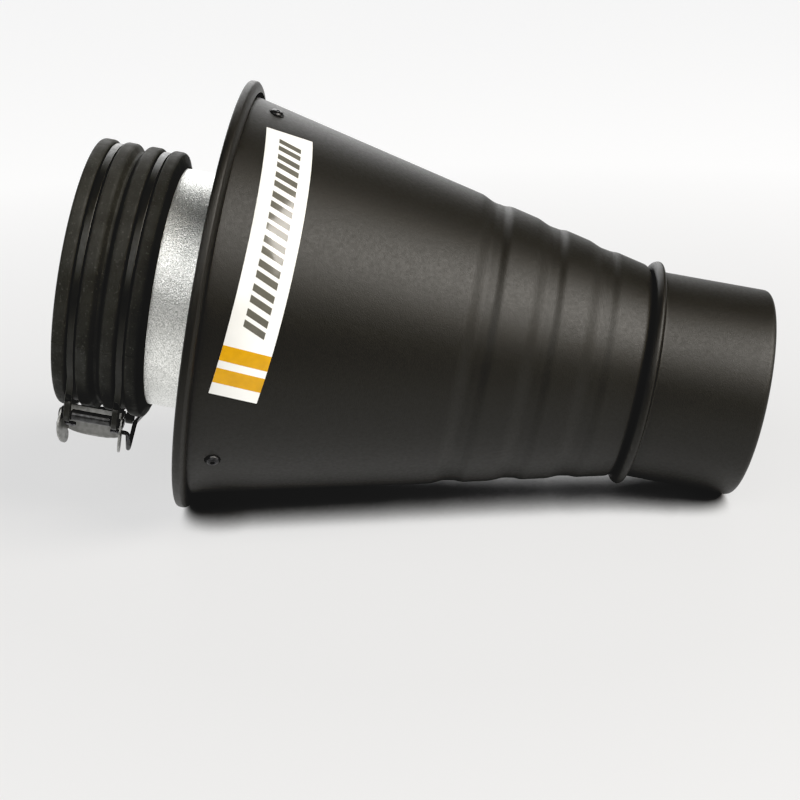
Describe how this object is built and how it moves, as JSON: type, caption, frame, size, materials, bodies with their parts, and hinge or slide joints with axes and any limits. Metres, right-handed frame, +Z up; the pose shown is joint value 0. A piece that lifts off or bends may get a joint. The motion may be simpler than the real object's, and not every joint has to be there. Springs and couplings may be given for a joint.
{
  "type": "studio snoot",
  "caption": "Conical studio snoot with a clamp-on rubber collar, toggle latch and a push-fit nose that holds a honeycomb grid.",
  "frame": {"origin": "centre of the bounding box's base: the plane the snoot lies on", "axes": "+X from the lamp end towards the nose, +Z up, -Y the side with the label; the snoot's own axis runs along +X tipped 11.577 degrees down towards the nose"},
  "size_m": [0.3128, 0.1888, 0.1853],
  "materials": {
    "black_coat": "matte black powder coat over spun aluminium",
    "silver_hammertone": "silver hammertone paint, fine speckle",
    "black_rubber": "matte moulded rubber",
    "band_steel": "semi-gloss blackened strip",
    "pin_steel": "blackened turned pin",
    "lever_steel": "plain pressed sheet, satin",
    "wire_steel": "blackened spring wire",
    "screw_steel": "blackened fasteners",
    "white_vinyl": "semi-gloss printed vinyl",
    "black_foil": "black anodised foil and rim"
  },
  "bodies": {
    "shell": {"cone_shell": "black_coat", "back_plate": "black_coat", "mount_neck": "silver_hammertone", "rubber_collar": "black_rubber", "rear_band": "band_steel", "front_band": "band_steel", "pivot_pin": "pin_steel", "pivot_spacer": "pin_steel", "catch_pin": "pin_steel", "catch_hook": "band_steel", "label_plate": "white_vinyl", "neck_rivet_1": "screw_steel", "neck_rivet_2": "screw_steel", "neck_rivet_3": "screw_steel", "neck_rivet_4": "screw_steel", "neck_rivet_5": "screw_steel", "neck_rivet_6": "screw_steel", "shell_screw_1": "screw_steel", "shell_screw_2": "screw_steel", "shell_screw_3": "screw_steel", "shell_washer_1": "screw_steel", "shell_washer_2": "screw_steel", "shell_washer_3": "screw_steel", "shell_nut_1": "screw_steel", "shell_nut_2": "screw_steel", "shell_nut_3": "screw_steel"},
    "cap": {"front_cap": "black_coat"},
    "grid": {"grid_rim": "black_foil", "grid_core": "black_foil"},
    "lever": {"latch_lever": "lever_steel"},
    "bail": {"bail_wire": "wire_steel"}
  },
  "joints": [
    {"name": "cap_slide", "type": "slide", "parent": "shell", "child": "cap", "axis": [0.9797, 0, -0.2007], "range_m": [0, 0.06]},
    {"name": "grid_slide", "type": "slide", "parent": "shell", "child": "grid", "axis": [0.9797, 0, -0.2007], "range_m": [0, 0.03]},
    {"name": "lever_hinge", "type": "hinge", "parent": "shell", "child": "lever", "pos_m": [-0.13744, -0.0415, 0.05003], "axis": [-0.9797, 0, 0.2007], "range_deg": [0, 150]},
    {"name": "bail_hinge", "type": "hinge", "parent": "lever", "child": "bail", "pos_m": [-0.13869, -0.035, 0.04395], "axis": [-0.9797, 0, 0.2007], "range_deg": [-140, 0]}
  ],
  "couplings": [
    {"joint": "grid_slide", "follows": "cap_slide", "ratio": 0.5},
    {"joint": "bail_hinge", "follows": "lever_hinge", "ratio": -0.9273}
  ]
}
